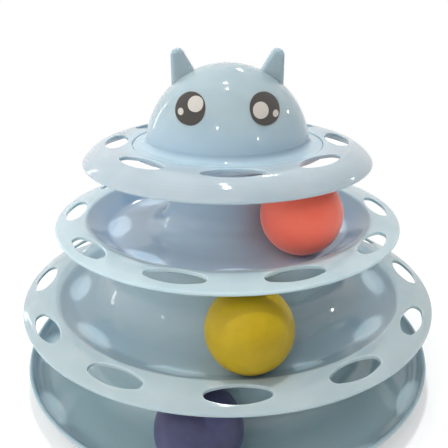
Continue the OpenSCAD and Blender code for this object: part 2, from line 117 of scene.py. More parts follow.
class Nodes:
    """A node tree in the making."""

    # Where most of a noise lies
    noise_range: Flat = (0.3, 0.7)

    def __init__(self, tree: bpy.types.NodeTree) -> None:
        """Empties the tree and adds its coordinates.

        Args:
            tree: The tree of a material or a world.
        """
        self.tree = tree
        tree.nodes.clear()
        self.coordinates = self.add("TexCoord").outputs

    @property
    def place(self) -> Socket:
        """The place on the piece in metres, which moves with the piece."""
        return self.coordinates["Object"]

    def add(
        self, kind: str, inputs: dict[str | int, object] | None = None, **settings: object
    ) -> bpy.types.Node:
        """Adds a node, sets it up and links it.

        Args:
            kind: The node's Blender type, without its first two words.
            inputs: Values by socket. A socket as a value is linked.
            settings: Attributes of the node.

        Returns:
            The new node.
        """
        made = self.tree.nodes.new(f"ShaderNode{kind}")
        for name, value in settings.items():
            setattr(made, name, value)
        for socket, value in (inputs or {}).items():
            if isinstance(value, Socket):
                self.tree.links.new(value, made.inputs[socket])
            else:
                made.inputs[socket].default_value = value
        return made

    def calculate(self, operation: str, first: Socket, second: Socket | float) -> Socket:
        """Gives the result of one operation on two values."""
        return self.add("Math", {0: first, 1: second}, operation=operation).outputs["Value"]

    def vector(self, operation: str, *inputs: Socket | Point, output: str = "Value") -> Socket:
        """Gives the result of one operation on vectors."""
        return self.add("VectorMath", dict(enumerate(inputs)), operation=operation).outputs[output]

    def stretch(
        self, value: Socket, source: Flat, target: Flat = (0.0, 1.0), smooth: bool = True
    ) -> Socket:
        """Maps a value from one range to another and holds it at the ends.

        Args:
            value: The value.
            source: Its range.
            target: The new range.
            smooth: Whether it leaves and reaches the ends softly.

        Returns:
            The mapped value.
        """
        names = ("From Min", "From Max", "To Min", "To Max")
        inputs = {"Value": value, **dict(zip(names, source + target))}
        kind = "SMOOTHSTEP" if smooth else "LINEAR"
        return self.add("MapRange", inputs, interpolation_type=kind).outputs["Result"]

    def noise(self, grain_mm: float, detail: float = 2.0) -> Socket:
        """Gives a noise whose grains have a real size, with finer layers."""
        inputs = {"Vector": self.place, "Scale": 1 / (grain_mm * MM), "Detail": detail}
        return self.add("TexNoise", inputs).outputs["Fac"]

    def spread(self, value: Socket, limits: Flat = (0.0, 1.0)) -> Socket:
        """Stretches a noise over new limits."""
        return self.stretch(value, self.noise_range, limits, smooth=False)

    def blend(self, share: Socket, first: str | Socket, second: str) -> Socket:
        """Mixes two colours by a share.

        Args:
            share: 0 gives the first colour and 1 the second.
            first: The first colour, in hex or from a socket.
            second: The second colour, in hex.

        Returns:
            The mixed colour.
        """
        made = self.add("Mix", data_type="RGBA")
        sockets = [s for s in made.inputs if s.enabled]
        for socket, value in zip(sockets, (share, first, second)):
            if isinstance(value, str):
                socket.default_value = linear(value)
            else:
                self.tree.links.new(value, socket)
        return next(s for s in made.outputs if s.enabled)

    def bump(self, height: Socket, depth_mm: float, under: Socket | None = None) -> Socket:
        """Adds a bump of a real depth, over another if one is given.

        Args:
            height: The height from 0 to 1.
            depth_mm: The depth between 0 and 1 in millimetres.
            under: The normal of a coarser bump.

        Returns:
            The new normal.
        """
        inputs = {"Height": height, "Distance": depth_mm * MM, "Strength": 1.0}
        if under is not None:
            inputs["Normal"] = under
        return self.add("Bump", inputs).outputs["Normal"]

    def seen(self) -> Socket:
        """Gives 1 for rays that the eye sees directly, in a gloss or through clear plastic."""
        path = self.add("LightPath").outputs
        glossy = self.calculate("MAXIMUM", path["Is Camera Ray"], path["Is Glossy Ray"])
        return self.calculate("MAXIMUM", glossy, path["Is Transmission Ray"])

    def mix(self, share: Socket, first: Socket, second: Socket) -> Socket:
        """Mixes two shaders by a share."""
        return self.add("MixShader", {0: share, 1: first, 2: second}).outputs["Shader"]

    def finish(self, shader: Socket, kind: str = "Material") -> None:
        """Links a shader to the output of a material or a world."""
        self.add(f"Output{kind}", {"Surface": shader})


def new_material(name: str) -> tuple[bpy.types.Material, Nodes]:
    """Makes an empty node material.

    Args:
        name: The material's name.

    Returns:
        The material and its nodes.
    """
    material = bpy.data.materials.new(name)
    material.use_nodes = True
    return material, Nodes(material.node_tree)


# Finishes


@dataclass(frozen=True)
class PaintedLight:
    """Painted light: a brighter, bluer second colour that the plastic turns to in the basins and at the
    head's foot.
    """

    colour: str
    across: Across
    # Where the painted light has not started and where it is full, in millimetres
    none_mm: float
    full_mm: float

    def share(self, nodes: Nodes) -> Socket:
        """Works out how much of the painted light a place has.

        Args:
            nodes: The material's nodes.

        Returns:
            The share from 0 to 1.
        """
        if self.across is Across.RADIUS:
            flat = nodes.vector("MULTIPLY", nodes.place, (1.0, 1.0, 0.0), output="Vector")
            where = nodes.vector("LENGTH", flat)
        else:
            where = nodes.add("SeparateXYZ", {"Vector": nodes.place}).outputs["Z"]
        return nodes.stretch(where, (self.none_mm * MM, self.full_mm * MM))


@dataclass(frozen=True)
class Finish:
    """What all finishes have: a name, and two near colours that lie in patches."""

    name: str
    colour: str
    second: str

    def mottled(self, nodes: Nodes, patches: Socket) -> Socket:
        """Mixes the two colours along a noise."""
        return nodes.blend(nodes.spread(patches), self.colour, self.second)

    def look(self, nodes: Nodes) -> dict[str, object]:
        """Gives the shader's values by socket, and adds the nodes that they come from."""
        raise NotImplementedError

    def make(self) -> bpy.types.Material:
        """Makes the material.

        Returns:
            The finished material.
        """
        material, nodes = new_material(self.name)
        shader = nodes.add("BsdfPrincipled", self.look(nodes), subsurface_method="RANDOM_WALK")
        nodes.finish(shader.outputs["BSDF"])
        return material


@dataclass(frozen=True)
class MouldedPolypropylene(Finish):
    """Milky polypropylene from a polished mould: glossy, with light that spreads inside the sheet."""

    # Painted light in the basins and at the head's foot
    painted_light: PaintedLight
    roughness: Flat = (0.064, 0.1)
    ior: float = 1.49
    # How much of the light enters the sheet, how far it spreads there, and how much goes through
    milkiness: float = 0.85
    spread_mm: float = 4.0
    spread_shares: Point = (0.6, 0.85, 1.0)
    clearness: float = 0.08
    # Painted shade: edges seen at a flat angle turn to a darker colour, for the dark inside of the
    # sheet that they show
    rim_shade_colour: str = "#7f9097"
    rim_shade_share: float = 0.55
    rim_blend: float = 0.12
    # Sink and flow waves of the thin sheet, and the fine skin left by the mould
    wave_mm: float = 22.0
    wave_depth_mm: float = 0.035
    skin_mm: float = 0.9
    skin_depth_mm: float = 0.004

    def look(self, nodes: Nodes) -> dict[str, object]:
        """Gives wavy milky plastic with its painted light, and painted shade on edges seen at a flat
        angle.

        Args:
            nodes: The material's nodes.

        Returns:
            The shader's values.
        """
        waves, skin = nodes.noise(self.wave_mm), nodes.noise(self.skin_mm, detail=4.0)
        colour = nodes.blend(self.painted_light.share(nodes), self.mottled(nodes, waves), self.painted_light.colour)
        # Painted shade on edges seen at a flat angle
        facing = nodes.add("LayerWeight", {"Blend": self.rim_blend}).outputs["Facing"]
        rim = nodes.calculate("MULTIPLY", facing, self.rim_shade_share)
        normal = nodes.bump(waves, self.wave_depth_mm)
        return {
            "Base Color": nodes.blend(rim, colour, self.rim_shade_colour),
            "Roughness": nodes.spread(skin, self.roughness),
            "IOR": self.ior,
            "Subsurface Weight": self.milkiness,
            "Subsurface Radius": self.spread_shares,
            "Subsurface Scale": self.spread_mm * MM,
            "Transmission Weight": self.clearness,
            "Normal": nodes.bump(skin, self.skin_depth_mm, normal),
        }


@dataclass(frozen=True)
class SatinPolyethylene(Finish):
    """Hollow balls of soft polyethylene with a satin skin that dulls the lamps to a soft sheen."""

    roughness: Flat = (0.3864, 0.4704)
    ior: float = 1.51
    # Share of the gloss that the satin grain leaves, and its pale bloom at flat angles
    gloss: float = 0.25
    bloom: float = 0.0
    bloom_roughness: float = 0.45
    milkiness: float = 0.3
    spread_mm: float = 3.0
    spread_shares: Point = (1.0, 0.6, 0.4)
    # Fine satin grain of the mould, drawn coarser than its real 0.1 mm so that it shows
    grain_mm: float = 0.35
    grain_depth_mm: float = 0.006
    # Scuffs from rolling on the track
    scuff_mm: float = 6.0

    def look(self, nodes: Nodes) -> dict[str, object]:
        """Gives scuffed patches under a fine grain.

        Args:
            nodes: The material's nodes.

        Returns:
            The shader's values.
        """
        scuffs = nodes.noise(self.scuff_mm, detail=6.0)
        return {
            "Base Color": self.mottled(nodes, scuffs),
            "Roughness": nodes.spread(scuffs, self.roughness),
            "IOR": self.ior,
            "Specular IOR Level": self.gloss,
            "Sheen Weight": self.bloom,
            "Sheen Roughness": self.bloom_roughness,
            "Subsurface Weight": self.milkiness,
            "Subsurface Radius": self.spread_shares,
            "Subsurface Scale": self.spread_mm * MM,
            "Normal": nodes.bump(nodes.noise(self.grain_mm), self.grain_depth_mm),
        }


@dataclass(frozen=True)
class PrintedVinyl(Finish):
    """Vinyl sticker film: a dark print under a thin clear film that takes soft reflections."""

    roughness: float = 0.3
    ior: float = 1.53
    # Dots of the print, drawn coarser than their real 0.15 mm so that they show
    dot_mm: float = 0.45

    def look(self, nodes: Nodes) -> dict[str, object]:
        """Gives the print's dots under an even film."""
        colour = self.mottled(nodes, nodes.noise(self.dot_mm))
        return {"Base Color": colour, "Roughness": self.roughness, "IOR": self.ior}


@dataclass(frozen=True)
class PadRubber(Finish):
    """Die-cut natural rubber: dull and slightly rough, so it grips the floor."""

    roughness: float = 0.8
    ior: float = 1.52
    grain_mm: float = 0.6
    grain_depth_mm: float = 0.05

    def look(self, nodes: Nodes) -> dict[str, object]:
        """Gives a dusty grain.

        Args:
            nodes: The material's nodes.

        Returns:
            The shader's values.
        """
        grain = nodes.noise(self.grain_mm, detail=4.0)
        return {
            "Base Color": self.mottled(nodes, grain),
            "Roughness": self.roughness,
            "IOR": self.ior,
            "Normal": nodes.bump(grain, self.grain_depth_mm),
        }


# Meshes


def on_tower(angle: float, r: float, z: float) -> Point:
    """Gives a point at an angle from the front, a radius and a height."""
    return (r * math.sin(angle), -r * math.cos(angle), z)


def beside(angle: float, across: float, outward: float, z: float) -> Point:
    """Gives a point across and outward from the axis, in the direction of an angle."""
    sin, cos = math.sin(angle), math.cos(angle)
    return (outward * sin + across * cos, -outward * cos + across * sin, z)


def steps_between(first: float, last: float, count: int) -> list[float]:
    """Gives count + 1 even steps from first to last."""
    return [first + (last - first) * i / count for i in range(count + 1)]


def angles_round(steps: int, start: float = 0.0) -> list[float]:
    """Gives even angles all round."""
    return [start + FULL_TURN * i / steps for i in range(steps)]


def circle(angles: Sequence[float], r: float, z: float) -> list[Point]:
    """Gives a circle round the tower's axis, or one point where it has no radius."""
    return [on_tower(0.0, r, z)] if r < WELD else [on_tower(a, r, z) for a in angles]


def link_object(name: str, data: bpy.types.ID) -> bpy.types.Object:
    """Puts a mesh, a lamp or a camera into the scene.

    Args:
        name: The object's name.
        data: What it shows.

    Returns:
        The new object.
    """
    made = bpy.data.objects.new(name, data)
    bpy.context.scene.collection.objects.link(made)
    return made


def log_piece(piece: bpy.types.Object) -> None:
    """Logs a piece that has been built."""
    LOG.info("%s: %d points", piece.name, len(piece.data.vertices))


class Draft:
    """A mesh in the making: points and faces, welded when it becomes an object."""

    def __init__(self) -> None:
        """Starts with nothing."""
        self.points: list[Point] = []
        self.faces: list[tuple[int, ...]] = []

    def add_ring(self, ring: Iterable[Point]) -> list[int]:
        """Adds points in order.

        Args:
            ring: The points.

        Returns:
            Their numbers.
        """
        start = len(self.points)
        self.points.extend(ring)
        return list(range(start, len(self.points)))

    def bridge(self, first: Sequence[int], second: Sequence[int]) -> None:
        """Joins two closed rings with quads, or with a fan where one has a single point.

        Args:
            first: The first ring's numbers.
            second: The second ring's numbers.
        """
        count = max(len(first), len(second))
        for i in range(count):
            j = (i + 1) % count
            face = [first[i % len(first)], first[j % len(first)]]
            face += [second[j % len(second)], second[i % len(second)]]
            self.faces.append(tuple(dict.fromkeys(face)))

    def cap(self, ring: Sequence[int]) -> None:
        """Closes a ring with one flat face."""
        self.faces.append(tuple(ring))

    def loft(self, rings: Iterable[Iterable[Point]], capped: bool = False) -> list[list[int]]:
        """Joins closed rings one after another.

        Args:
            rings: The rings in order.
            capped: Whether the first and the last ring are closed with faces.

        Returns:
            The numbers of each ring's points.
        """
        made: list[list[int]] = []
        for ring in rings:
            made.append(self.add_ring(ring))
            if len(made) > 1:
                self.bridge(made[-2], made[-1])
        if capped:
            self.cap(made[0])
            self.cap(made[-1])
        return made

    def turn(self, line: Sequence[Flat], steps: int = STEPS_ROUND, start: float = 0.0) -> None:
        """Turns a line of radius and height round the tower's axis, in steps from an angle."""
        angles = angles_round(steps, start)
        self.loft(circle(angles, r, z) for r, z in line)

    def to_object(self, name: str) -> bpy.types.Object:
        """Welds the points and makes a smooth-shaded object.

        Args:
            name: The object's name.

        Returns:
            The object, in the scene.
        """
        mesh = bpy.data.meshes.new(name)
        mesh.from_pydata(self.points, [], self.faces)
        work = bmesh.new()
        work.from_mesh(mesh)
        bmesh.ops.remove_doubles(work, verts=work.verts, dist=WELD)
        bmesh.ops.dissolve_degenerate(work, edges=work.edges, dist=WELD / 4)
        bmesh.ops.recalc_face_normals(work, faces=work.faces)
        work.to_mesh(mesh)
        work.free()
        mesh.shade_smooth()
        mesh.set_sharp_from_angle(angle=SHARP_ANGLE)
        return link_object(name, mesh)


@dataclass(frozen=True)
class Corner:
    """A corner of a sheet's upper line, with its fillet."""

    r: float
    z: float
    fillet: float = 0.0

    @property
    def place(self) -> Vector:
        """The corner as a vector."""
        return Vector((self.r, self.z))

    def towards(self, other: Corner) -> Vector:
        """The direction from here to another corner."""
        return (other.place - self.place).normalized()


def left_of(direction: Vector) -> Vector:
    """Gives the direction to the left, where the sheet's material lies."""
    return Vector((-direction.y, direction.x))


def bend_sign(before: Vector, after: Vector) -> float:
    """Gives 1 where a line bends to the left, and -1 where it bends to the right."""
    return 1.0 if before.x * after.y - before.y * after.x > 0 else -1.0


@dataclass
class SheetLine:
    """The line of a sheet, from its rim to the axis, and the line of its underside."""

    corners: list[Corner]
    thickness: float
    arc_step: float = math.radians(6)
    least_arc_steps: int = 3
    straight_angle: float = math.radians(0.5)
    longest: float = 2.5 * MM
    # Smooth shading stays true on a straight stretch with points this near to its ends
    support: float = 0.35 * MM
    rim_steps: int = 12

    def upper(self) -> list[Flat]:
        """Gives the rounded upper line, from the rim inwards."""
        return self._rounded(self.corners)

    def lower(self) -> list[Flat]:
        """Gives the rounded line of the underside, from the rim inwards."""
        return self._rounded(self._moved())

    def _rounded(self, corners: Sequence[Corner]) -> list[Flat]:
        """Rounds the corners between the first and the last, and fills the line.

        Args:
            corners: The line's corners.

        Returns:
            Points of radius and height.
        """
        points: list[Vector] = []
        for i, corner in enumerate(corners):
            if i in (0, len(corners) - 1) or corner.fillet <= 0:
                points.append(corner.place)
            else:
                points.extend(self._arc(corners[i - 1], corner, corners[i + 1]))
        return self._filled(points)

    def _arc(self, before: Corner, corner: Corner, after: Corner) -> list[Vector]:
        """Rounds one corner between its neighbours.

        Args:
            before: The corner before it.
            corner: The corner.
            after: The corner after it.

        Returns:
            The points of its arc.
        """
        d1, d2 = before.towards(corner), corner.towards(after)
        angle = d1.angle(d2)
        if angle < self.straight_angle:
            return [corner.place]
        side = bend_sign(d1, d2)
        start = corner.place - d1 * corner.fillet * math.tan(angle / 2)
        centre = start + left_of(d1) * corner.fillet * side
        count = max(self.least_arc_steps, math.ceil(angle / self.arc_step))
        return [
            centre + Matrix.Rotation(side * turn, 2) @ (start - centre)
            for turn in steps_between(0.0, angle, count)
        ]

    def _moved(self) -> list[Corner]:
        """Gives the underside's corners, one thickness to the left of the line.

        Returns:
            The corners.
        """
        moved = []
        for i, corner in enumerate(self.corners):
            d1 = self.corners[i - 1].towards(corner) if i > 0 else None
            d2 = corner.towards(self.corners[i + 1]) if i < len(self.corners) - 1 else None
            d1, d2 = d1 or d2, d2 or d1
            n1, n2 = left_of(d1), left_of(d2)
            place = corner.place + self.thickness * (n1 + n2) / (1 + n1.dot(n2))
            fillet = 0.0
            if corner.fillet > 0:
                fillet = max(0.0, corner.fillet - bend_sign(d1, d2) * self.thickness)
            moved.append(Corner(place.x, place.y, fillet))
        return moved

    def _filled(self, points: Sequence[Vector]) -> list[Flat]:
        """Adds points along a line's straight stretches.

        Args:
            points: The line's points.

        Returns:
            The same line with no stretch longer than the longest.
        """
        filled: list[Flat] = [tuple(points[0])]
        for first, second in zip(points, points[1:]):
            length = (second - first).length
            if length > 4 * self.support:
                edge = self.support / length
                count = max(1, math.ceil(length / self.longest))
                shares = steps_between(edge, 1 - edge, count)
                filled.extend(tuple(first.lerp(second, share)) for share in shares)
            filled.append(tuple(second))
        return filled

    def rim_cap(self) -> list[Flat]:
        """Gives the half round at the rim, from the underside to the upper face.

        Returns:
            Points of radius and height.
        """
        upper, lower = Vector(self.upper()[0]), Vector(self.lower()[0])
        middle = (upper + lower) / 2
        return [
            tuple(middle + Matrix.Rotation(turn, 2) @ (lower - middle))
            for turn in steps_between(0.0, math.pi, self.rim_steps)
        ]


def height_at(line: Sequence[Flat], r: float) -> float:
    """Reads the height of a line at a radius.

    Args:
        line: Points of radius and height, from the rim inwards.
        r: The radius.

    Returns:
        The height there.
    """
    for (r1, z1), (r2, z2) in zip(line, line[1:]):
        if r2 <= r <= r1 and r1 > r2:
            return z1 + (z2 - z1) * (r1 - r) / (r1 - r2)
    return line[0][1]


def cut_line(line: Sequence[Flat], outer: float, inner: float) -> list[Flat]:
    """Cuts a line out between two radii.

    Args:
        line: Points of radius and height, from the rim inwards.
        outer: The radius where the piece starts.
        inner: The radius where it ends.

    Returns:
        The piece, with points at both radii.
    """
    start = [(outer, height_at(line, outer))] if outer < line[0][0] else []
    end = [(inner, height_at(line, inner))] if inner > line[-1][0] else []
    middle = []
    for r, z in line:
        if end and r <= inner + WELD:
            break
        if not start or r < outer - WELD:
            middle.append((r, z))
    return start + middle + end


@dataclass(frozen=True)
class Oval:
    """An oval of four arcs, such as a hole in a flange or an eye."""

    length: float
    width: float
    nose_share: float

    def at(self, turn: float) -> Edge:
        """Gives the outline's point in a direction, and its outward normal there.

        Args:
            turn: The angle, in the plane where the oval is stretched to a circle.

        Returns:
            The point and the normal.
        """
        half_l, half_w = self.length / 2, self.width / 2
        nose = half_w * self.nose_share
        c = half_l - nose
        d = half_w - nose
        k = (c * c - d * d) / (2 * d)
        side_r = half_w + k
        direction = Vector((math.cos(turn) * half_l, math.sin(turn) * half_w)).normalized()
        centre = Vector((0.0, -k if direction.y >= 0 else k))
        point = self._hit(direction, centre, side_r)
        if abs(point.x) > side_r * c / math.hypot(c, k):
            centre = Vector((c if direction.x >= 0 else -c, 0.0))
            point = self._hit(direction, centre, nose)
        return tuple(point), tuple((point - centre).normalized())

    @staticmethod
    def _hit(direction: Vector, centre: Vector, radius: float) -> Vector:
        """Finds where a line from the origin leaves a circle.

        Args:
            direction: The line's direction.
            centre: The circle's centre.
            radius: The circle's radius.

        Returns:
            The far point of the two.
        """
        along = direction.dot(centre)
        rest = along * along - centre.length_squared + radius**2
        return direction * (along + math.sqrt(max(0.0, rest)))

    def turned(self, angle: float) -> Callable[[float], Edge]:
        """Gives the outline turned by an angle.

        Args:
            angle: The angle.

        Returns:
            What gives the outline's point and normal in a direction.
        """
        turn_by = Matrix.Rotation(angle, 2)

        def outline(turn: float) -> Edge:
            """Turns one point of the oval and its normal."""
            point, normal = self.at(turn)
            return tuple(turn_by @ Vector(point)), tuple(turn_by @ Vector(normal))

        return outline


@dataclass(frozen=True)
class HoleRing:
    """A ring of ovals cut straight down through a flange, in a zone of equal sectors."""

    count: int
    ring_r: float
    oval: Oval
    first_turn: float
    margin: float = 2.2 * MM
    edge: float = 0.35 * MM
    ring_shares: tuple[float, ...] = (0.0, 0.22, 0.44, 0.64, 0.82, 0.94, 1.0)
    edge_steps: int = 3
    least_steps_across: int = 6

    @property
    def outer(self) -> float:
        """The radius where the holed zone ends."""
        return self.ring_r + self.oval.width / 2 + self.margin

    @property
    def inner(self) -> float:
        """The radius where the holed zone starts."""
        return self.ring_r - self.oval.width / 2 - self.margin

    @property
    def half(self) -> float:
        """Half the angle of a sector."""
        return math.pi / self.count

    @property
    def steps(self) -> int:
        """The steps along one sector's arc."""
        return round(STEPS_ROUND / self.count)

    def build(self, draft: Draft, upper: Sequence[Flat], lower: Sequence[Flat]) -> None:
        """Adds the holed zone to a draft, sector by sector.

        Args:
            draft: The mesh in the making.
            upper: The upper line.
            lower: The lower line.
        """
        border = self._border()
        hole = [self._on_hole(angle, r) for angle, r in border]
        for i in range(self.count):
            centre = self.first_turn + i * FULL_TURN / self.count
            above = self._face(centre, border, hole, upper, -1.0)
            below = self._face(centre, border, hole, lower, 1.0)
            draft.loft(above + below[::-1])

    def _face(
        self,
        centre: float,
        border: Sequence[Flat],
        hole: Sequence[Edge],
        line: Sequence[Flat],
        into: float,
    ) -> list[list[Point]]:
        """Gives one sector's rings on a face, from its border over the hole's round edge.

        Args:
            centre: The sector's middle angle.
            border: The sector's border.
            hole: The hole's points and normals.
            line: The face's line.
            into: The sign of Z into the material.

        Returns:
            Rings of points.
        """
        edge = [self._polar(place, self.edge) for place in hole]
        rings = []
        for share in self.ring_shares:
            ring = []
            for (angle, r), (a, q) in zip(border, edge):
                at, radius = angle + (a - angle) * share, r + (q - r) * share
                ring.append(on_tower(centre + at, radius, height_at(line, radius)))
            rings.append(ring)
        for bend in steps_between(0.0, QUARTER_TURN, self.edge_steps)[1:]:
            depth = into * self.edge * (1 - math.cos(bend))
            wall = [self._polar(place, self.edge * (1 - math.sin(bend))) for place in hole]
            rings.append([on_tower(centre + a, q, height_at(line, q) + depth) for a, q in wall])
        return rings

    def _border(self) -> list[Flat]:
        """Gives the sector's border.

        Returns:
            Angles from its middle, and radii.
        """
        depth = self.outer - self.inner
        across = round(depth / (self.half * self.ring_r) * self.steps / 2)
        arc = steps_between(-self.half, self.half, self.steps)[:-1]
        side = steps_between(self.outer, self.inner, max(self.least_steps_across, across))[:-1]
        return (
            [(a, self.outer) for a in arc]
            + [(self.half, r) for r in side]
            + [(-a, self.inner) for a in arc]
            + [(-self.half, self.outer + self.inner - r) for r in side]
        )

    def _on_hole(self, angle: float, r: float) -> Edge:
        """Gives the hole's point that faces a point of the border, and its outward normal."""
        middle, reach = (self.outer + self.inner) / 2, (self.outer - self.inner) / 2
        return self.oval.at(math.atan2((r - middle) / reach, angle / self.half))

    def _polar(self, place: Edge, out: float) -> Flat:
        """Gives a place some way out from the hole's wall.

        Args:
            place: The hole's point and its outward normal.
            out: How far out the place is.

        Returns:
            Its angle from the sector's middle and its radius.
        """
        (x, y), (nx, ny) = place
        across, outward = x + nx * out, self.ring_r + (y + ny * out)
        return math.atan2(across, outward), math.hypot(across, outward)


# The tower's pieces


@dataclass(frozen=True)
class Fits:
    """Sizes that the mouldings share."""

    wall: float = 2.0 * MM
    fit_gap: float = 0.3 * MM
    pad_recess: float = 0.6 * MM
    seat_depth: float = 1.5 * MM
    plug_height: float = 6.0 * MM
    plug_edge: float = 2.6 * MM
    plug_foot: float = 0.8 * MM
    column_draft: float = math.radians(1.5)
    column_edge: float = 3.0 * MM
    collar_wall: float = 2.4 * MM
    collar_lead: float = 1.0 * MM
    collar_edge: float = 10 * HAIR
    # How much narrower the collar's socket is than the hollow of the column over it
    collar_step: float = 0.6 * MM
    slot_room: float = 1.0 * MM
    key_count: int = 3
    key_width: float = 6.0 * MM
    key_out: float = 1.2 * MM
    key_steps: int = 6
    hole_length: float = 30.4 * MM
    hole_nose_share: float = 0.55
    hole_turn: float = math.radians(2.4)
    # Room for a ball on each track
    ball_r: float = 21.0 * MM
    side_play: float = 1.0 * MM


FITS = Fits()


@dataclass(frozen=True)
class Column:
    """The hollow column in the middle of a tray, with the plug on its top."""

    foot_r: float
    foot_fillet: float
    plug_r: float
    # The height of the seat that the plug stands on
    top_z: float

    def corners(self, floor_z: float) -> list[Corner]:
        """Gives the column's corners.

        Args:
            floor_z: The height of the track.

        Returns:
            The corners, from the track to the axis.
        """
        top_r = self.foot_r - (self.top_z - floor_z) * math.tan(FITS.column_draft)
        plug_z = self.top_z + FITS.plug_height
        return [
            Corner(self.foot_r, floor_z, self.foot_fillet),
            Corner(top_r, self.top_z, FITS.column_edge),
            Corner(self.plug_r, self.top_z, FITS.plug_foot),
            Corner(self.plug_r, plug_z, FITS.plug_edge),
            Corner(0.0, plug_z),
        ]

    def add_keys(self, draft: Draft) -> None:
        """Adds the keys on the plug's side, a hair away from the sheet's own volume.

        Args:
            draft: The mesh in the making.
        """
        half = FITS.key_width / 2
        low, high = self.top_z + HAIR, self.top_z + FITS.plug_height - FITS.plug_edge
        outer = self.plug_r + FITS.key_out
        for angle in angles_round(FITS.key_count):
            rings = []
            for across in steps_between(-half, half, FITS.key_steps):
                inner = math.sqrt((self.plug_r + HAIR) ** 2 - across**2)
                square = ((inner, low), (outer, low), (outer, high), (inner, high))
                rings.append([beside(angle, across, outward, z) for outward, z in square])
            draft.loft(rings, capped=True)


@dataclass(frozen=True)
class Flange:
    """The curved flange round a tray, which drops from its crest to the rim, and its holes."""

    rim_r: float
    width: float
    drop: float
    hole_count: int
    # How far the holes' middles are in from the rim
    hole_inset: float
    hole_width: float
    # Whether the front has no hole at its middle
    half_pitch: bool = False

    @property
    def slope(self) -> float:
        """The flange's slope at its rim."""
        return 2 * math.atan(self.drop / self.width)

    @property
    def crest_r(self) -> float:
        """The radius where the flange is highest."""
        return self.rim_r - FITS.wall / 2 * (1 - math.sin(self.slope)) - self.width

    def corners(self, crest_z: float) -> list[Corner]:
        """Gives the flange's corners.

        Args:
            crest_z: The height of the crest.

        Returns:
            The corners, from the rim to the crest.
        """
        arc_r = self.width / math.sin(self.slope)
        return [
            Corner(self.crest_r + self.width, crest_z - self.drop),
            Corner(self.crest_r + arc_r * math.tan(self.slope / 2), crest_z, arc_r),
        ]

    def holes(self) -> HoleRing:
        """Lays out the flange's holes.

        Returns:
            The ring of holes.
        """
        turn = FITS.hole_turn + (math.pi / self.hole_count if self.half_pitch else 0.0)
        oval = Oval(FITS.hole_length, self.hole_width, FITS.hole_nose_share)
        return HoleRing(self.hole_count, self.rim_r - self.hole_inset, oval, turn)


@dataclass(frozen=True)
class Collar:
    """The collar under a tier, with its lead-in and the slots for the keys of the plug below."""

    socket_r: float
    low_z: float
    high_z: float

    def _warped(self, angles: Sequence[float]) -> list[tuple[float, bool]]:
        """Moves the angles next to a slot's side onto it.

        Args:
            angles: Even angles round the tower.

        Returns:
            Each angle, and whether it lies in a slot.
        """
        half = math.asin((FITS.key_width / 2 + FITS.fit_gap) / self.socket_r)
        sector = FULL_TURN / FITS.key_count
        step = angles[1] - angles[0]
        warped = []
        for angle in angles:
            turns = round(angle / sector) * sector
            off = angle - turns
            sign = 1.0 if off >= 0 else -1.0
            in_slot = abs(off) < half
            if half - step <= abs(off) < half:
                off = sign * (half - HAIR / self.socket_r)
            elif half <= abs(off) < half + step:
                off = sign * half
            warped.append((turns + off, in_slot))
        return warped

    def build(self, draft: Draft, lower: Sequence[Flat], angles: Sequence[float]) -> None:
        """Adds the underside from its outer end over the collar to the axis.

        Args:
            draft: The mesh in the making.
            lower: The underside's line, from outside the collar to the axis.
            angles: The angles round the tower.
        """
        outer_r = self.socket_r + FITS.collar_wall
        outer = next(i for i, (r, _) in enumerate(lower) if r < outer_r)
        inner = next(i for i, (_, z) in enumerate(lower) if i > outer and z > self.high_z)
        slot_r = self.socket_r + FITS.key_out
        slot_z = self.low_z + FITS.plug_height + FITS.slot_room
        # Each ring has a radius and a height, and the radius that it has in a slot instead
        profile = [
            (outer_r, lower[outer][1], None),
            (outer_r, self.low_z + FITS.collar_edge, None),
            (outer_r - FITS.collar_edge, self.low_z, None),
            (self.socket_r + FITS.collar_lead, self.low_z, slot_r),
            (self.socket_r, self.low_z + FITS.collar_lead, slot_r),
            (self.socket_r, slot_z, slot_r),
            (self.socket_r, slot_z + HAIR, None),
            (self.socket_r, self.high_z, None),
            (*lower[inner], None),
        ]
        warped = self._warped(angles)
        rings = [circle(angles, r, z) for r, z in lower[:outer]]
        for r, z, other in profile:
            rings.append([on_tower(a, other if other and in_slot else r, z) for a, in_slot in warped])
        rings += [circle(angles, r, z) for r, z in lower[inner + 1 :]]
        draft.loft(rings)


@dataclass
class Moulding:
    """A moulded sheet that is turned round the axis, with or without a ring of holes."""

    node: str
    body: str
    slot: str
    corners: list[Corner]
    holes: HoleRing | None = None
    open_middle: bool = False
    column: Column | None = None
    collar: Collar | None = None
    piece: bpy.types.Object | None = field(default=None, init=False)

    def build(self) -> bpy.types.Object:
        """Builds the moulding and lets it stand for its CAD node.

        Returns:
            The new piece.
        """
        draft = Draft()
        sheet = SheetLine(self.corners, FITS.wall)
        if self.holes is None:
            draft.turn(sheet.lower()[::-1] + sheet.rim_cap() + sheet.upper())
        else:
            self._add_holed(draft, sheet)
        if self.column is not None:
            self.column.add_keys(draft)
        self.piece = draft.to_object(f"{self.node}_sheet")
        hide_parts(self.node)
        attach(self.piece, self.body)
        return self.piece

    def _add_holed(self, draft: Draft, sheet: SheetLine) -> None:
        """Adds the sheet outside and inside its holes, then the holed zone.

        Args:
            draft: The mesh in the making.
            sheet: The sheet's lines.
        """
        holes, upper, lower = self.holes, sheet.upper(), sheet.lower()
        steps, start = holes.steps * holes.count, holes.first_turn - holes.half
        rim = cut_line(lower, lower[0][0], holes.outer)[::-1] + sheet.rim_cap()
        draft.turn(rim + cut_line(upper, upper[0][0], holes.outer), steps, start)
        draft.turn(cut_line(upper, holes.inner, 0.0), steps, start)
        under = cut_line(lower, holes.inner, 0.0)
        if self.collar is None:
            draft.turn(under, steps, start)
        else:
            self.collar.build(draft, under, angles_round(steps, start))
        holes.build(draft, upper, lower)
        if self.open_middle:
            draft.turn([upper[-1], lower[-1]], steps, start)

    def dress(self, material: bpy.types.Material) -> None:
        """Gives the moulding its finish."""
        self.piece.data.materials.append(material)


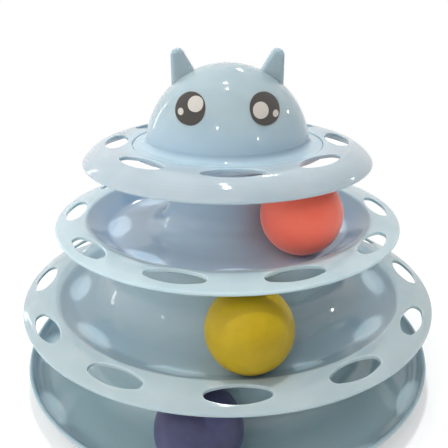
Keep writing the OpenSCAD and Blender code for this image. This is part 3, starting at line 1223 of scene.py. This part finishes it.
@dataclass(frozen=True)
class Levels:
    """Heights of the tracks and of the tiers' seats, read from the frame."""

    base_floor: float
    lower_floor: float
    middle_floor: float
    cover_inner: float
    cover_top: float

    @staticmethod
    def read() -> Levels:
        """Reads the heights from the CAD nodes.

        Returns:
            The levels.
        """
        trays = ("base_tray", "lower_tier", "middle_tier")
        seats = [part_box(node)[1].z - FITS.plug_height + FITS.wall for node in trays]
        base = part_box("grip_pad_1")[1].z - FITS.pad_recess + FITS.wall
        return Levels(base, *seats, seats[-1] + FITS.seat_depth)


def column_inside(track_r: float) -> float:
    """Gives the radius of the column inside a track, with room for the ball."""
    return track_r - FITS.ball_r - FITS.side_play


@dataclass(frozen=True)
class Tier:
    """The sizes of a tier."""

    flange: Flange
    slope_w: float
    crest_h: float
    outboard: float
    foot_fillet: float
    land: float = 2.0 * MM
    crest_roll: float = 4.0 * MM
    slope_fillet: float = 7.0 * MM

    @property
    def column_r(self) -> float:
        """The radius of the column's foot."""
        return column_inside(self.flange.crest_r - self.slope_w - self.outboard)

    @property
    def socket_r(self) -> float:
        """The radius of the socket under the tier."""
        return self.column_r - FITS.wall - FITS.collar_step

    def lay_out(self, body: str, floor: float, top: float, next_socket_r: float) -> Moulding:
        """Lays out the tier.

        Args:
            body: The body that it rides on.
            floor: The height of its track.
            top: The height of the seat on its column.
            next_socket_r: The radius of the socket that its plug goes into.

        Returns:
            The moulding.
        """
        crest_r, crest_z = self.flange.crest_r, floor + self.crest_h
        column = Column(self.column_r, self.foot_fillet, next_socket_r - FITS.fit_gap, top)
        corners = [
            *self.flange.corners(crest_z),
            Corner(crest_r - self.land, crest_z, self.crest_roll),
            Corner(crest_r - self.slope_w, floor, self.slope_fillet),
            *column.corners(floor),
        ]
        collar = Collar(self.socket_r, floor - FITS.wall, floor + self.foot_fillet)
        holes = self.flange.holes()
        node = f"{body}_tier"
        return Moulding(node, body, "tier_plastic", corners, holes, column=column, collar=collar)


@dataclass
class Trays:
    """The base tray, the two tiers and the cover."""

    levels: Levels
    # The radius of the flange round the head's foot
    head_foot_r: float
    base_lip_r: float = 120.7 * MM
    base_lip_h: float = 7.9 * MM
    base_lip_lean: float = 3.2 * MM
    base_lip_fillet: float = 10.0 * MM
    base_outboard: float = 15.7 * MM
    base_foot_fillet: float = 13.0 * MM
    lower: Tier = Tier(
        Flange(120.0 * MM, 15.0 * MM, 4.0 * MM, 12, 9.6 * MM, 10.4 * MM),
        slope_w=13.2 * MM,
        crest_h=5.8 * MM,
        outboard=5.4 * MM,
        foot_fillet=18.0 * MM,
    )
    middle: Tier = Tier(
        Flange(97.6 * MM, 14.6 * MM, 2.3 * MM, 10, 9.8 * MM, 10.8 * MM, half_pitch=True),
        slope_w=14.6 * MM,
        crest_h=9.1 * MM,
        outboard=11.3 * MM,
        foot_fillet=16.0 * MM,
    )
    cover_flange: Flange = Flange(79.7 * MM, 15.5 * MM, 7.7 * MM, 8, 18.1 * MM, 12.4 * MM)
    cover_socket_r: float = 26.0 * MM
    seat_edge: float = 0.6 * MM

    def base_tray(self) -> Moulding:
        """Lays out the base tray.

        Returns:
            The moulding.
        """
        floor, top = self.levels.base_floor, self.levels.lower_floor - FITS.wall
        rim_r = self.base_lip_r - FITS.wall / 2
        column_r = column_inside(self.base_lip_r - self.base_lip_lean - self.base_outboard)
        plug_r = self.lower.socket_r - FITS.fit_gap
        column = Column(column_r, self.base_foot_fillet, plug_r, top)
        corners = [
            Corner(rim_r, floor + self.base_lip_h),
            Corner(rim_r - self.base_lip_lean, floor, self.base_lip_fillet),
            *column.corners(floor),
        ]
        return Moulding("base_tray", "base", "base_plastic", corners, column=column)

    def lower_tier(self) -> Moulding:
        """Lays out the lower tier."""
        top = self.levels.middle_floor - FITS.wall
        return self.lower.lay_out("lower", self.levels.lower_floor, top, self.middle.socket_r)

    def middle_tier(self) -> Moulding:
        """Lays out the middle tier."""
        top = self.levels.cover_inner - FITS.wall
        return self.middle.lay_out("middle", self.levels.middle_floor, top, self.cover_socket_r)

    def cover(self) -> Moulding:
        """Lays out the cover, with the seat for the head and the socket in its middle.

        Returns:
            The moulding.
        """
        top, inner = self.levels.cover_top, self.levels.cover_inner
        seat_r = self.head_foot_r + FITS.fit_gap
        socket_r = self.cover_socket_r + FITS.wall
        corners = [
            *self.cover_flange.corners(top),
            Corner(seat_r, top, self.seat_edge),
            Corner(seat_r, inner),
            Corner(socket_r, inner),
            Corner(socket_r, inner - FITS.wall + FITS.plug_height),
        ]
        holes = self.cover_flange.holes()
        return Moulding("top_cover", "top", "tier_plastic", corners, holes, open_middle=True)

    def build(self, materials: dict[str, bpy.types.Material]) -> None:
        """Builds and dresses the four mouldings.

        Args:
            materials: The finish of each moulding, by its CAD node.
        """
        for moulding in (self.base_tray(), self.lower_tier(), self.middle_tier(), self.cover()):
            log_piece(moulding.build())
            moulding.dress(materials[moulding.node])


def combine(base: bpy.types.Object, tool: bpy.types.Object, operation: str) -> None:
    """Joins or cuts one mesh with another and removes the tool.

    Args:
        base: The mesh that changes.
        tool: The other mesh.
        operation: UNION or DIFFERENCE.
    """
    modifier = base.modifiers.new("combine", "BOOLEAN")
    modifier.operation = operation
    modifier.solver = "EXACT"
    modifier.object = tool
    bpy.context.view_layer.update()
    graph = bpy.context.evaluated_depsgraph_get()
    mesh = bpy.data.meshes.new_from_object(base.evaluated_get(graph))
    old = base.data
    base.modifiers.clear()
    base.data = mesh
    bpy.data.meshes.remove(old)
    bpy.data.objects.remove(tool)


def rounded_hull(
    circles: Sequence[tuple[Vector, float]], arc_steps: int
) -> list[tuple[Vector, Vector]]:
    """Gives the outline round three or more circles.

    Args:
        circles: Each circle's centre and radius, in order against the clock.
        arc_steps: The steps of each arc.

    Returns:
        Points with their outward normals.
    """
    normals = []
    for (p, a), (q, b) in zip(circles, (*circles[1:], circles[0])):
        along = q - p
        lean = math.asin((a - b) / along.length)
        normals.append(math.atan2(along.y, along.x) - QUARTER_TURN + lean)
    outline = []
    for i, (centre, radius) in enumerate(circles):
        first, last = normals[i - 1], normals[i]
        while last < first:
            last += FULL_TURN
        for angle in steps_between(first, last, arc_steps):
            normal = Vector((math.cos(angle), math.sin(angle)))
            outline.append((centre + normal * radius, normal))
    return outline


# Places of the large glint and of the small spark on each eye, from its middle
GLINT_PLACES = {
    Side.LEFT: ((2.8 * MM, 2.2 * MM), (-4.1 * MM, -2.7 * MM)),
    Side.RIGHT: ((-3.3 * MM, -1.2 * MM), (4.6 * MM, -3.7 * MM)),
}


@dataclass
class CatHead:
    """The hollow dome with its two ears, and the stickers and glints of its eyes."""

    centre_z: float
    dome_r: float = 45.4 * MM
    dome_steps: int = 72
    dome_steps_round: int = 192
    sink: float = 2.0 * MM
    ear_out: float = 30.0 * MM
    ear_rise: float = 7.4 * MM
    ear_tip_r: float = 3.7 * MM
    ear_edge_r: float = 2.5 * MM
    ear_t: float = 8.0 * MM
    ear_outer_foot_share: float = 0.62
    ear_inner_foot_shares: Flat = (0.355, 0.757)
    ear_arc_steps: int = 14
    ear_edge_steps: int = 7
    hook_count: int = 3
    hook_w: float = 8.0 * MM
    hook_t: float = 1.6 * MM
    hook_barb: float = 0.8 * MM
    hook_barb_h: float = 1.2 * MM
    hook_up: float = 3.0 * MM
    foot_flange_r: float = 52.5 * MM
    foot_flange_t: float = 1.0 * MM
    foot_fillet: float = 3.5 * MM
    foot_fillet_steps: int = 14
    foot_edge: float = 0.2 * MM
    foot_edge_steps: int = 4
    eye_azimuth: float = math.radians(31)
    eye_elevation: float = math.radians(37)
    eye_lean: float = math.radians(46)
    eye: Oval = Oval(20.2 * MM, 16.0 * MM, 0.8)
    glue: float = 0.05 * MM
    eye_t: float = 0.3 * MM
    glint: Oval = Oval(9.8 * MM, 8.0 * MM, 0.8)
    spark: Oval = Oval(4.4 * MM, 3.1 * MM, 0.8)
    print_t: float = 0.15 * MM
    patch_steps_round: int = 96
    # Rings on the two faces of a patch, and its bevel as a share of its round edge
    patch_upper_shares: tuple[float, ...] = (0.2, 0.4, 0.6, 0.8, 0.95)
    patch_lower_shares: tuple[float, ...] = (0.8, 0.5, 0.25)
    patch_bevel_share: float = 0.3

    def build(self, material: bpy.types.Material) -> bpy.types.Object:
        """Builds the dome, the ears and the hooks.

        Args:
            material: The head's finish.

        Returns:
            The head.
        """
        draft = Draft()
        draft.turn(self._outer_line(), self.dome_steps_round)
        outer = draft.to_object("cat_head_shell")
        for side in Side:
            combine(outer, self._ear(side), "UNION")
        combine(outer, self._hollow(), "DIFFERENCE")
        for angle in angles_round(self.hook_count):
            combine(outer, self._hook(angle), "UNION")
        outer.data.shade_smooth()
        outer.data.set_sharp_from_angle(angle=SHARP_ANGLE)
        outer.data.materials.clear()
        outer.data.materials.append(material)
        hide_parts("cat_head")
        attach(outer, "top")
        return outer

    def _outer_line(self) -> list[Flat]:
        """Gives the line of the head from the middle of its foot, round the flange, to its top.

        Returns:
            Points of radius and height.
        """
        low, top = self.sink, self.sink + self.foot_flange_t
        edge, rim, fillet = self.foot_edge, self.foot_flange_r, self.foot_fillet
        centre_z = top + fillet
        centre_r = math.sqrt((self.dome_r + fillet) ** 2 - centre_z**2)
        meet = math.atan2(centre_z, centre_r)
        line = [(0.0, low), (rim / 2, low), (rim - edge, low), (rim, low + edge)]
        for a in steps_between(0.0, QUARTER_TURN, self.foot_edge_steps):
            line.append((rim - edge + edge * math.cos(a), top - edge + edge * math.sin(a)))
        for a in steps_between(0.0, QUARTER_TURN + meet, self.foot_fillet_steps):
            line.append((centre_r - fillet * math.sin(a), centre_z - fillet * math.cos(a)))
        for a in steps_between(meet, QUARTER_TURN, self.dome_steps)[1:-1]:
            line.append((self.dome_r * math.cos(a), self.dome_r * math.sin(a)))
        line.append((0.0, self.dome_r))
        return [(r, self.centre_z + z) for r, z in line]

    def _hollow(self) -> bpy.types.Object:
        """Builds the room inside the dome, which reaches below its foot.

        Returns:
            The room's volume.
        """
        radius, low = self.dome_r - FITS.wall, -FITS.wall
        line = [(0.0, low)]
        for a in steps_between(math.asin(low / radius), QUARTER_TURN, self.dome_steps)[:-1]:
            line.append((radius * math.cos(a), radius * math.sin(a)))
        line.append((0.0, radius))
        draft = Draft()
        draft.turn([(r, self.centre_z + z) for r, z in line], self.dome_steps_round)
        return draft.to_object("cat_head_hollow")

    def _ear(self, side: Side) -> bpy.types.Object:
        """Builds one ear as a plate with a round edge.

        Args:
            side: The side of the face.

        Returns:
            The ear.
        """
        edge, tip_r = self.ear_edge_r, self.ear_tip_r
        inner = Vector([self.dome_r * share for share in self.ear_inner_foot_shares])
        outer = Vector((self.ear_out - edge, self.dome_r * self.ear_outer_foot_share))
        tip = Vector((self.ear_out - tip_r, self.dome_r + self.ear_rise - tip_r))
        outline = rounded_hull(((inner, edge), (outer, edge), (tip, tip_r)), self.ear_arc_steps)
        layers = [
            (edge * (1 - math.sin(b)), -self.ear_t / 2 + edge * (1 - math.cos(b)))
            for b in steps_between(0.0, QUARTER_TURN, self.ear_edge_steps)
        ]
        layers += [(into, -depth) for into, depth in reversed(layers)]
        rings = [
            [
                (side.value * (p.x - n.x * into), depth, self.centre_z + p.y - n.y * into)
                for p, n in outline
            ]
            for into, depth in layers
        ]
        draft = Draft()
        draft.loft(rings, capped=True)
        return draft.to_object(f"ear_{side.name.lower()}")

    def _hook(self, angle: float) -> bpy.types.Object:
        """Builds one snap hook on the dome's foot, with its barb under the cover.

        Args:
            angle: Its angle from the front.

        Returns:
            The hook.
        """
        foot_z = self.centre_z + self.sink
        foot_r = math.sqrt(self.dome_r**2 - self.sink**2)
        middle, half = foot_r - FITS.wall - self.hook_t / 2, self.hook_t / 2
        catch, high = foot_z - FITS.wall - FITS.fit_gap, foot_z + self.hook_up
        low = catch - self.hook_barb_h
        profile = [
            (middle - half, high),
            (middle - half, low),
            (middle + half, low),
            (middle + half + self.hook_barb, catch),
            (middle + half, catch),
            (middle + half, high),
        ]
        draft = Draft()
        ends = draft.loft(
            [beside(angle, across, outward, z) for outward, z in profile]
            for across in (-self.hook_w / 2, self.hook_w / 2)
        )
        for end in ends:
            draft.cap([end[i] for i in (0, 1, 2, 4, 5)])
            draft.cap([end[i] for i in (2, 3, 4)])
        return draft.to_object("snap_hook")

    def _patch(
        self, draft: Draft, side: Side, at: Flat, outline: Callable[[float], Edge], layer: Flat
    ) -> None:
        """Adds a thin patch that follows the dome.

        Args:
            draft: The mesh in the making.
            side: The side of the face.
            at: The patch's middle, across and up from the eye's.
            outline: The patch's outline.
            layer: The patch's lower and upper heights above the dome.
        """
        # The eye's frame: X across, Y up and Z out of the dome, from its centre
        place = (
            Matrix.Translation((0.0, 0.0, self.centre_z))
            @ Matrix.Rotation(side.value * self.eye_azimuth, 4, "Z")
            @ Matrix.Rotation(QUARTER_TURN - self.eye_elevation, 4, "X")
        )
        edges = [outline(turn) for turn in angles_round(self.patch_steps_round)]

        def ring(share: float, height: float, inward: float = 0.0) -> list[Point]:
            """Gives one ring of the patch.

            Args:
                share: The ring's size as a share of the outline.
                height: Its height above the dome.
                inward: How far it is drawn in along the outline's normals.

            Returns:
                The ring's points.
            """
            points = []
            for (x, y), (nx, ny) in edges:
                px = at[0] + x * share - nx * inward
                py = at[1] + y * share - ny * inward
                pz = math.sqrt((self.dome_r + height) ** 2 - px**2 - py**2)
                points.append(tuple(place @ Vector((px, py, pz))))
            return points

        low, high = layer
        edge = (high - low) / 3
        bevel = edge * self.patch_bevel_share
        rings = [ring(0.0, high)[:1]]
        rings += [ring(share, high) for share in self.patch_upper_shares]
        rings += [ring(1.0, high, edge), ring(1.0, high - bevel, bevel)]
        rings += [ring(1.0, high - edge), ring(1.0, low)]
        rings += [ring(share, low) for share in self.patch_lower_shares]
        rings += [ring(0.0, low)[:1]]
        draft.loft(rings)

    def build_eye(
        self, side: Side, vinyl: bpy.types.Material, ink: bpy.types.Material
    ) -> list[bpy.types.Object]:
        """Builds one eye: the sticker and the glints printed on it.

        Args:
            side: The side of the face.
            vinyl: The sticker's finish.
            ink: The glints' finish.

        Returns:
            The sticker and the glints.
        """
        name = side.name.lower()
        top = self.glue + self.eye_t
        layer = (top, top + self.print_t)
        lean = QUARTER_TURN - side.value * self.eye_lean
        sticker, glints = Draft(), Draft()
        self._patch(sticker, side, (0.0, 0.0), self.eye.turned(lean), (self.glue, top))
        for at, oval in zip(GLINT_PLACES[side], (self.glint, self.spark)):
            self._patch(glints, side, at, oval.turned(lean), layer)
        made = []
        for draft, node, slot, material in (
            (sticker, f"{name}_eye_sticker", "eye_vinyl", vinyl),
            (glints, f"{name}_eye_glints", "glint_print", ink),
        ):
            piece = draft.to_object(f"{node}_film")
            piece.data.materials.append(material)
            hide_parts(node)
            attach(piece, "top")
            made.append(piece)
        return made


@dataclass
class Ball:
    """A hollow ball on its track."""

    node: str
    slot: str
    wall: float = 1.2 * MM
    subdivisions: int = 6

    def build(self, material: bpy.types.Material) -> bpy.types.Object:
        """Builds the ball where the frame has it.

        Args:
            material: The ball's finish.

        Returns:
            The ball.
        """
        low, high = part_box(self.node)
        radius = (high.z - low.z) / 2
        mesh = bpy.data.meshes.new(f"{self.node}_shell")
        work = bmesh.new()
        for r in (radius, radius - self.wall):
            bmesh.ops.create_icosphere(work, subdivisions=self.subdivisions, radius=r)
        inner = [f for f in work.faces if f.calc_center_median().length < radius - self.wall / 2]
        bmesh.ops.reverse_faces(work, faces=inner)
        work.to_mesh(mesh)
        work.free()
        mesh.transform(Matrix.Translation((low + high) / 2))
        mesh.shade_smooth()
        mesh.materials.append(material)
        piece = link_object(mesh.name, mesh)
        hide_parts(self.node)
        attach(piece, self.node)
        return piece


# Studio


def towards(turn: float, rise: float) -> Point:
    """Gives the direction of an angle from the front and a height angle, in degrees."""
    rise = math.radians(rise)
    return on_tower(math.radians(turn), math.cos(rise), math.sin(rise))


@dataclass(frozen=True)
class Lamp:
    """A lamp that faces the tower from an angle, a height angle and a distance."""

    name: str
    turn: float
    rise: float
    distance: float
    size: float
    power: float
    # Height of a tall lamp, or 0 for a round one
    height: float = 0.0
    # Whether it shows in the plastic's gloss
    shows: bool = True


@dataclass(frozen=True)
class Glow:
    """A broad soft glow of the room, seen from an angle and a height angle."""

    turn: float
    rise: float
    level: float


@dataclass
class Studio:
    """The pale floor, the soft light and the camera at the photograph's angle."""

    aim: Vector = field(default_factory=lambda: Vector((0.0, 0.0, 0.1)))
    floor_size: float = 40.0
    floor_colour: str = "#f4f5f5"
    # Distances over which the floor turns to plain white, and the shares of white there
    floor_fade: Flat = (0.12, 0.3)
    floor_white_shares: Flat = (0.35, 1.0)
    # Overhead lamp for the light spots under the holes, then lamps for the glints and streaks
    lamps: tuple[Lamp, ...] = (
        Lamp("overhead", -175.0, 85.0, 2.4, 0.1, 27.0, shows=False),
        Lamp("ceiling", -175.0, 74.5, 2.4, 0.12, 2.4),
        Lamp("behind", 170.2, 39.5, 2.6, 0.1, 4.0),
        Lamp("front_left", -17.0, 37.7, 2.2, 0.06, 1.6),
        Lamp("front_right", 43.6, 21.0, 2.2, 0.06, 1.1),
        Lamp("right", 115.3, 23.5, 2.2, 0.06, 1.0),
        Lamp("window_back", -130.0, 13.0, 2.4, 0.12, 1.4, height=0.9),
        Lamp("window_front", -63.0, 14.0, 2.4, 0.1, 0.6, height=0.3),
    )
    # Window side on the left, and the ceiling
    glows: tuple[Glow, ...] = (
        Glow(-90.0, 10.0, 1.24),
        Glow(-40.0, 10.0, 0.64),
        Glow(0.0, 90.0, 0.94),
    )
    # Cosines of the angles from a glow's middle to its edge and to where it is full
    glow_reach: Flat = (0.3, 1.0)
    # The camera that was fitted to the photograph's outlines
    lens_mm: float = 43.88
    sensor_mm: float = 36.0
    # The tower's axis stands 3.5 of the frame's 448 pixels right of its middle
    lens_shift: float = -3.5 / 448
    view_end: float = 100.0
    camera_place: Point = (0.0, -300.4 * MM, 210.4 * MM)
    camera_pitch: float = math.radians(90 - 22.38)

    def build(self) -> None:
        """Builds the floor, the lamps, the world and the camera."""
        self._floor()
        for lamp in self.lamps:
            self._lamp(lamp)
        self._world()
        self._camera()
        bpy.context.scene.view_settings.view_transform = "Standard"

    def _floor(self) -> None:
        """Lays a pale floor that turns to plain white away from the tower."""
        draft, half = Draft(), self.floor_size / 2
        square = ((-half, -half), (half, -half), (half, half), (-half, half))
        draft.cap(draft.add_ring((x, y, 0.0) for x, y in square))
        floor = draft.to_object("floor")
        material, nodes = new_material("pale_floor_paper")
        matt = nodes.add("BsdfDiffuse", {"Color": linear(self.floor_colour)}).outputs["BSDF"]
        white = nodes.add("Emission", {"Color": linear(WHITE)}).outputs["Emission"]
        away = nodes.vector("LENGTH", nodes.place)
        far = nodes.stretch(away, self.floor_fade, self.floor_white_shares)
        nodes.finish(nodes.mix(nodes.calculate("MULTIPLY", nodes.seen(), far), matt, white))
        floor.data.materials.append(material)

    def _lamp(self, lamp: Lamp) -> None:
        """Hangs one lamp.

        Args:
            lamp: The lamp.
        """
        data = bpy.data.lights.new(lamp.name, "AREA")
        data.shape = "RECTANGLE" if lamp.height else "DISK"
        data.size = lamp.size
        data.size_y = lamp.height
        data.energy = lamp.power
        made = link_object(lamp.name, data)
        place = Vector(towards(lamp.turn, lamp.rise)) * lamp.distance
        made.location = self.aim + place
        made.rotation_euler = place.to_track_quat("Z", "Y").to_euler()
        made.visible_glossy = lamp.shows

    def _world(self) -> None:
        """Surrounds the tower with the room's glows, and with plain white to the eye."""
        world = bpy.data.worlds.new("white_room")
        bpy.context.scene.world = world
        world.use_nodes = True
        nodes = Nodes(world.node_tree)
        total: Socket | float = 0.0
        for glow in self.glows:
            direction = towards(glow.turn, glow.rise)
            cosine = nodes.vector("DOT_PRODUCT", nodes.coordinates["Generated"], direction)
            part = nodes.stretch(cosine, self.glow_reach, (0.0, glow.level))
            total = nodes.calculate("ADD", part, total)
        lights = ({"Color": linear(WHITE), "Strength": total}, {"Color": linear(WHITE)})
        light, white = (nodes.add("Background", inputs).outputs["Background"] for inputs in lights)
        nodes.finish(nodes.mix(nodes.seen(), light, white), "World")

    def _camera(self) -> None:
        """Sets up the camera."""
        data = bpy.data.cameras.new("camera")
        data.sensor_width = self.sensor_mm
        data.lens = self.lens_mm
        data.shift_x = self.lens_shift
        data.clip_end = self.view_end
        camera = link_object("camera", data)
        camera.location = self.camera_place
        camera.rotation_euler = (self.camera_pitch, 0.0, 0.0)
        bpy.context.scene.camera = camera


def main() -> None:
    """Dresses the tower and sets up the studio."""
    logging.basicConfig(level=logging.INFO, format="%(name)s: %(message)s")
    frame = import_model()

    # Each plastic's last colour is painted light: brighter and bluer towards the axis, and at the
    # head's foot
    plastics = {
        node: MouldedPolypropylene(f"moulded_polypropylene_{name}", colour, pale, painted_light).make()
        for node, name, colour, pale, painted_light in (
            ("base_tray", "base", "#a8bbc1", "#b0c2c7", PaintedLight("#b3cad0", Across.RADIUS, 118.0, 104.0)),
            ("lower_tier", "lower", "#a7b5b8", "#afbcbe", PaintedLight("#b0c4cc", Across.RADIUS, 106.0, 94.0)),
            ("middle_tier", "middle", "#b5c6cb", "#beced1", PaintedLight("#c3d6e7", Across.RADIUS, 84.0, 72.0)),
            ("top_cover", "cover", "#abb8be", "#b4bfc5", PaintedLight("#b2c4cf", Across.RADIUS, 62.0, 53.0)),
            ("cat_head", "head", "#a2b5bd", "#abbdc2", PaintedLight("#b2cbdb", Across.HEIGHT, 162.0, 138.0)),
        )
    }
    levels = Levels.read()
    head = CatHead(centre_z=levels.cover_inner - CatHead.sink)
    Trays(levels, head.foot_flange_r).build(plastics)
    log_piece(head.build(plastics["cat_head"]))

    vinyl = PrintedVinyl("printed_vinyl_eye", "#2f2c29", "#3c3732").make()
    ink = PrintedVinyl("printed_vinyl_glint", "#c0bbb3", "#b6b0a8").make()
    for side in Side:
        for film in head.build_eye(side, vinyl, ink):
            log_piece(film)

    for node, slot, finish in (
        (
            "purple_ball",
            "purple_plastic",
            SatinPolyethylene("satin_polyethylene_purple", "#40415f", "#494a69"),
        ),
        (
            "yellow_ball",
            "yellow_plastic",
            SatinPolyethylene("satin_polyethylene_yellow", "#b09710", "#a88e10"),
        ),
        (
            "orange_ball",
            "orange_plastic",
            SatinPolyethylene("satin_polyethylene_coral", "#ff765f", "#ff705b", bloom=0.3),
        ),
    ):
        log_piece(Ball(node, slot).build(finish.make()))

    rubber = PadRubber("die_cut_rubber", "#565d61", "#70767a").make()
    for node, piece in frame["nodes"].items():
        if node.startswith("grip_pad"):
            piece.data.materials.clear()
            piece.data.materials.append(rubber)
            LOG.info("%s dressed", node)

    Studio().build()


if __name__ == "__main__":
    main()
